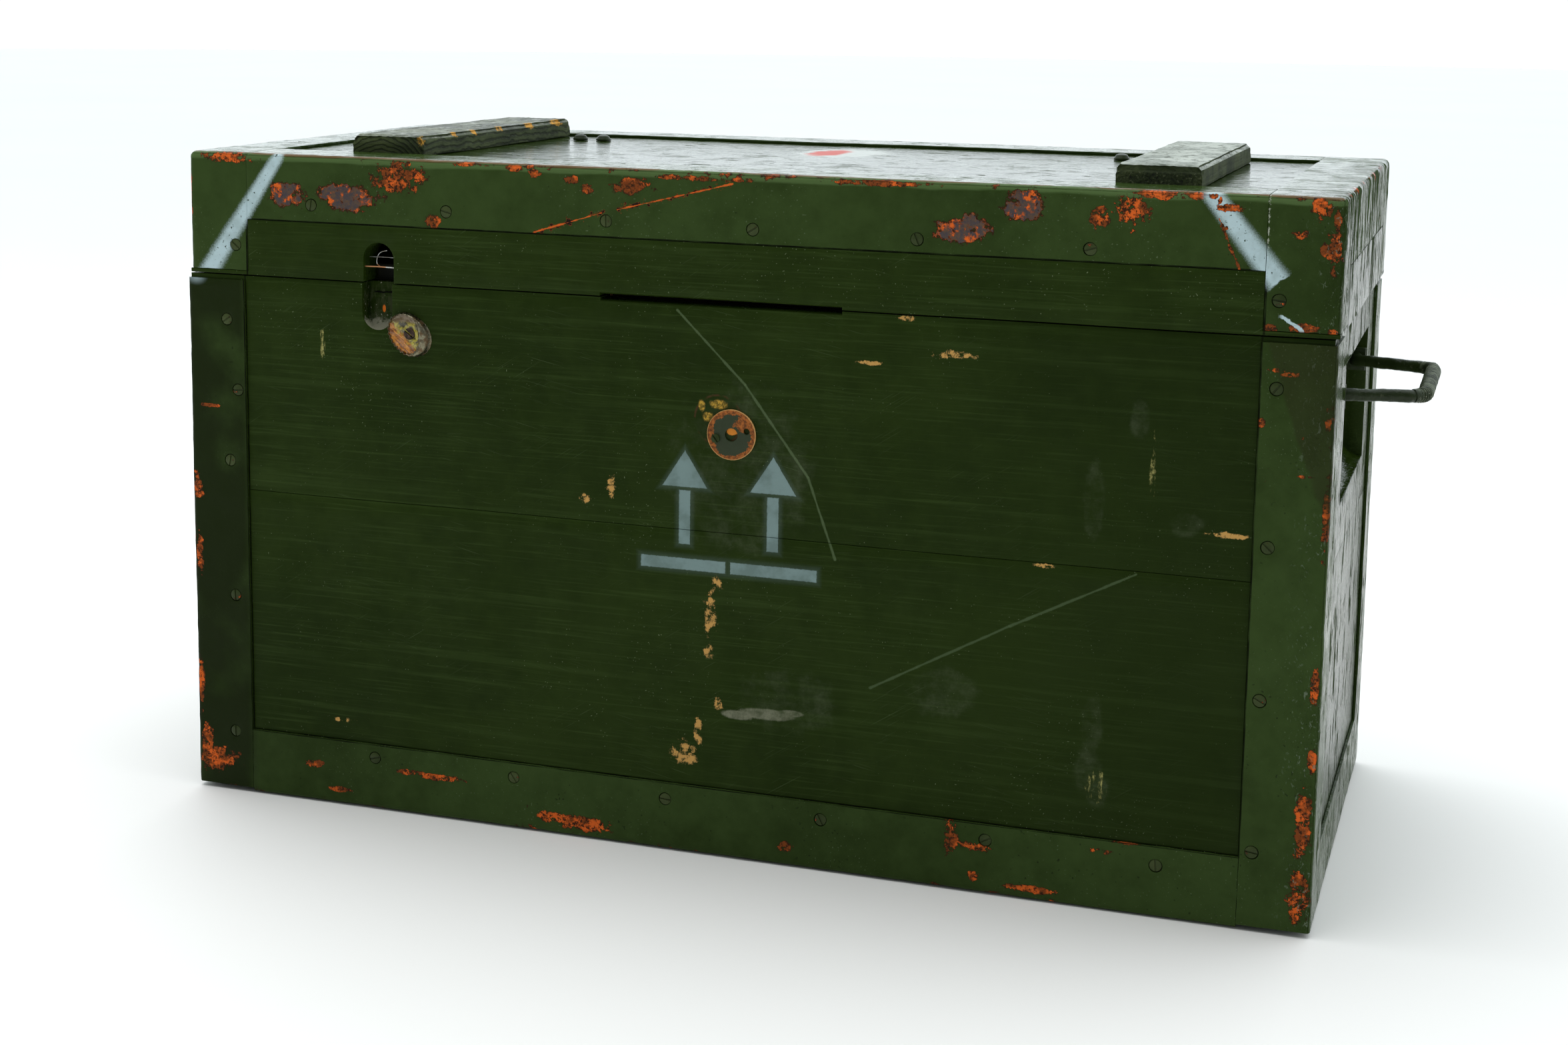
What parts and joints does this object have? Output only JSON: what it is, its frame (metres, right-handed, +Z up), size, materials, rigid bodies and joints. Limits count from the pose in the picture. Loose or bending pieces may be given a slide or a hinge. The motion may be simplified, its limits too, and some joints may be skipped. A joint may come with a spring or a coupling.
{
  "type": "footlocker",
  "caption": "Painted wooden footlocker with steel corners and edges, a hinged lid with top battens, recessed drop handles and a hook lock.",
  "frame": {"origin": "middle of the underside, on the plane that the bottom steel rests on", "axes": "+X to the right seen from the front, -Y out of the front, +Z up"},
  "size_m": [1.0168, 0.4195, 0.538],
  "materials": {
    "painted_wood": "glossy dark green oil paint over softwood grain",
    "painted_steel": "glossy dark green paint, chipped to rust at the edges",
    "bare_wood": "planed softwood, unpainted and aged",
    "batten_wood": "worn green paint over grey softwood",
    "handle_steel": "thick worn dark green paint",
    "handle_wrap": "wound wire, painted and rubbed",
    "rusty_steel": "brown rust with remains of green paint",
    "dark_steel": "dull oxidised steel",
    "seal_tin": "crumpled lacquered tin",
    "seal_resin": "glossy amber sealing resin"
  },
  "bodies": {
    "body": {"front_upper_board": "painted_wood", "front_lower_board": "painted_wood", "back_upper_board": "painted_wood", "back_lower_board": "painted_wood", "left_upper_board": "painted_wood", "left_lower_board": "painted_wood", "right_upper_board": "painted_wood", "right_lower_board": "painted_wood", "bottom_panel": "bare_wood", "front_lip": "bare_wood", "back_lip": "bare_wood", "left_lip": "bare_wood", "right_lip": "bare_wood", "corner_plate_front_left": "painted_steel", "corner_plate_front_right": "painted_steel", "corner_plate_back_left": "painted_steel", "corner_plate_back_right": "painted_steel", "bottom_angle_front": "painted_steel", "bottom_angle_back": "painted_steel", "bottom_angle_left": "painted_steel", "bottom_angle_right": "painted_steel", "handle_bracket_left": "handle_steel", "handle_bracket_right": "handle_steel", "hinge_lower_leaf_left": "dark_steel", "hinge_lower_leaf_right": "dark_steel", "hinge_pin_left": "dark_steel", "hinge_pin_right": "dark_steel", "disc_screw": "dark_steel", "lock_plate": "dark_steel", "seal_cup": "seal_tin"},
    "lid": {"lid_front_board": "painted_wood", "lid_back_board": "painted_wood", "lid_left_board": "painted_wood", "lid_right_board": "painted_wood", "lid_top_panel": "painted_wood", "lid_corner_cap_front_left": "painted_steel", "lid_corner_cap_front_right": "painted_steel", "lid_corner_cap_back_left": "painted_steel", "lid_corner_cap_back_right": "painted_steel", "lid_edge_angle_front": "painted_steel", "lid_edge_angle_back": "painted_steel", "lid_edge_angle_left": "painted_steel", "lid_edge_angle_right": "painted_steel", "batten_left": "batten_wood", "batten_right": "batten_wood", "hinge_upper_leaf_left": "dark_steel", "hinge_upper_leaf_right": "dark_steel", "hinge_bolt_left_1": "painted_steel", "hinge_bolt_left_2": "painted_steel", "hinge_bolt_right_1": "painted_steel", "hinge_bolt_right_2": "painted_steel", "lock_keeper": "dark_steel"},
    "handle_left": {"handle_bail_left": "handle_steel", "handle_wrap_left": "handle_wrap"},
    "handle_right": {"handle_bail_right": "handle_steel", "handle_wrap_right": "handle_wrap"},
    "keyhole_plate": {"escutcheon_disc": "rusty_steel"},
    "hook": {"lock_hook": "dark_steel"}
  },
  "joints": [
    {"name": "lid_hinge", "type": "hinge", "parent": "body", "child": "lid", "pos_m": [0, 0.208, 0.429], "axis": [-1, 0, 0], "range_deg": [0, 105]},
    {"name": "handle_right_pivot", "type": "hinge", "parent": "body", "child": "handle_right", "pos_m": [0.44, 0, 0.37], "axis": [0, 1, 0], "range_deg": [-60, 90]},
    {"name": "handle_left_pivot", "type": "hinge", "parent": "body", "child": "handle_left", "pos_m": [-0.44, 0, 0.37], "axis": [0, -1, 0], "range_deg": [-60, 90]},
    {"name": "keyhole_plate_pivot", "type": "hinge", "parent": "body", "child": "keyhole_plate", "pos_m": [0.001, -0.2, 0.3255], "axis": [0, -1, 0], "range_deg": [-105, 70]},
    {"name": "lock_turn", "type": "hinge", "parent": "body", "child": "hook", "pos_m": [0.002, -0.16, 0.338], "axis": [0, -1, 0], "range_deg": [0, 180]}
  ]
}
